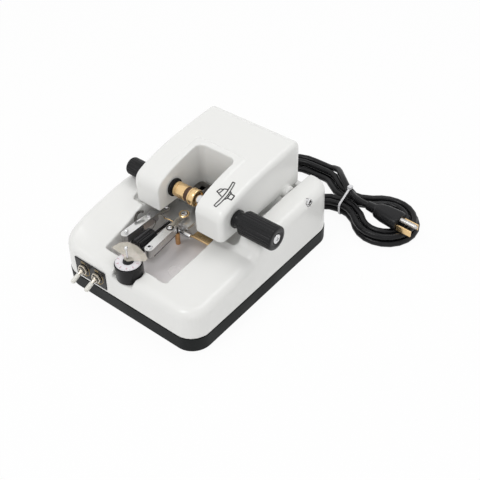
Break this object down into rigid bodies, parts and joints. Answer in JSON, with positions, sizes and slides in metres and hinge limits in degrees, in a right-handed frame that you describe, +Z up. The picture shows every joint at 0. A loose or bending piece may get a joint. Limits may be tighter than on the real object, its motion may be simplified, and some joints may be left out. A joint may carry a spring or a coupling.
{
  "type": "lens groover",
  "caption": "Bench machine that grooves the rim of an eyeglass lens, with a tilting head, clamp knobs, depth dial, guide arms and a mains cord.",
  "frame": {"origin": "middle of the machine's box without its cord, on the surface that it stands on", "axes": "+X to the machine's right, +Y to its back, +Z up"},
  "size_m": [0.2336, 0.2944, 0.108],
  "materials": {
    "white_case": "smooth semi-gloss white",
    "black_plastic": "satin black",
    "black_rubber": "matt black",
    "grey_floor": "satin grey",
    "chrome": "bright plated",
    "steel": "turned steel",
    "brass": "turned golden brass",
    "copper": "copper-coloured",
    "dial_white": "printed white",
    "lever_ivory": "pale ivory",
    "clear_plate": "clear, slightly beige",
    "tie_white": "white nylon",
    "green_board": "lacquered board"
  },
  "bodies": {
    "base": {"base_tray": "black_plastic", "foot_1": "black_rubber", "foot_2": "black_rubber", "foot_3": "black_rubber", "foot_4": "black_rubber", "housing": "white_case", "well_floor": "grey_floor", "hinge_screw_left": "chrome", "hinge_screw_right": "chrome", "switch_plate": "black_plastic", "switch_body_left": "black_plastic", "switch_body_right": "black_plastic", "switch_nut_left": "chrome", "switch_nut_right": "chrome", "transformer": "steel", "circuit_board": "green_board", "grinding_motor": "black_plastic", "wheel_guard": "black_plastic", "brass_bracket": "brass", "guide_frame": "steel", "left_pivot_screw": "steel", "right_pivot_screw": "brass", "guide_post": "copper", "cross_pin": "chrome", "pointer_pin": "chrome", "pointer_plate": "clear_plate", "strain_relief": "black_rubber", "cord_lead": "black_rubber", "cord_hank": "black_rubber", "cable_tie": "tie_white", "plug_body": "black_plastic", "plug_pin_left": "steel", "plug_pin_right": "steel", "plug_pin_earth": "steel"},
    "head": {"head_cover": "white_case", "lens_motor": "steel"},
    "lens_drive": {"left_spindle": "steel", "left_knob": "black_plastic", "left_hub": "black_plastic", "brass_adapter": "brass", "lens_pad_left": "black_rubber", "spindle_gear": "brass"},
    "pinion": {"motor_pinion": "steel"},
    "collar": {"clamp_collar": "black_plastic"},
    "clamp": {"clamp_spindle": "chrome", "clamp_tip": "brass", "lens_pad_right": "black_rubber", "right_knob": "black_plastic", "knob_screw": "chrome"},
    "wheel": {"wheel_spindle": "steel", "groove_wheel": "steel"},
    "dial": {"depth_dial": "black_plastic", "dial_scale": "dial_white", "depth_screw": "steel"},
    "left_arm": {"left_guide_arm": "chrome", "arm_spring": "steel"},
    "right_arm": {"right_guide_arm": "chrome"},
    "adjuster": {"position_knob": "black_plastic"},
    "left_toggle": {"switch_lever_left": "lever_ivory"},
    "right_toggle": {"switch_lever_right": "lever_ivory"}
  },
  "joints": [
    {"name": "head_tilt", "type": "hinge", "parent": "base", "child": "head", "pos_m": [-0.00775, 0.0706, 0.0625], "axis": [-1, 0, 0], "range_deg": [0, 50]},
    {"name": "lens_spin", "type": "hinge", "parent": "head", "child": "lens_drive", "pos_m": [-0.02775, -0.0004, 0.078], "axis": [1, 0, 0], "continuous": true},
    {"name": "pinion_spin", "type": "hinge", "parent": "head", "child": "pinion", "pos_m": [-0.03275, 0.0156, 0.078], "axis": [1, 0, 0], "continuous": true},
    {"name": "clamp_spin", "type": "hinge", "parent": "head", "child": "collar", "pos_m": [0.04325, -0.0004, 0.078], "axis": [1, 0, 0], "continuous": true},
    {"name": "clamp_slide", "type": "slide", "parent": "collar", "child": "clamp", "axis": [1, 0, 0], "range_m": [0, 0.014]},
    {"name": "wheel_spin", "type": "hinge", "parent": "base", "child": "wheel", "pos_m": [-0.01075, 0.0196, 0.062], "axis": [1, 0, 0], "continuous": true},
    {"name": "depth_dial_turn", "type": "hinge", "parent": "base", "child": "dial", "pos_m": [-0.01075, -0.0794, 0.0546], "axis": [0, 0, 1], "range_deg": [0, 300]},
    {"name": "left_arm_swing", "type": "hinge", "parent": "base", "child": "left_arm", "pos_m": [-0.03575, -0.0054, 0.054], "axis": [0, 0, -1], "range_deg": [0, 3.5]},
    {"name": "right_arm_swing", "type": "hinge", "parent": "base", "child": "right_arm", "pos_m": [-0.01575, -0.0034, 0.054], "axis": [0, 0, 1], "range_deg": [0, 3.5]},
    {"name": "position_knob_turn", "type": "hinge", "parent": "base", "child": "adjuster", "pos_m": [-0.02725, -0.0524, 0.0443], "axis": [0, 1, 0], "continuous": true},
    {"name": "left_toggle_throw", "type": "hinge", "parent": "base", "child": "left_toggle", "pos_m": [-0.05675, -0.095, 0.0295], "axis": [-1, 0, 0], "range_deg": [0, 46]},
    {"name": "right_toggle_throw", "type": "hinge", "parent": "base", "child": "right_toggle", "pos_m": [-0.03975, -0.095, 0.0295], "axis": [-1, 0, 0], "range_deg": [0, 46]}
  ],
  "couplings": [
    {"joint": "pinion_spin", "follows": "lens_spin", "ratio": -3},
    {"joint": "clamp_spin", "follows": "lens_spin", "ratio": 1},
    {"joint": "right_arm_swing", "follows": "left_arm_swing", "ratio": 1}
  ]
}
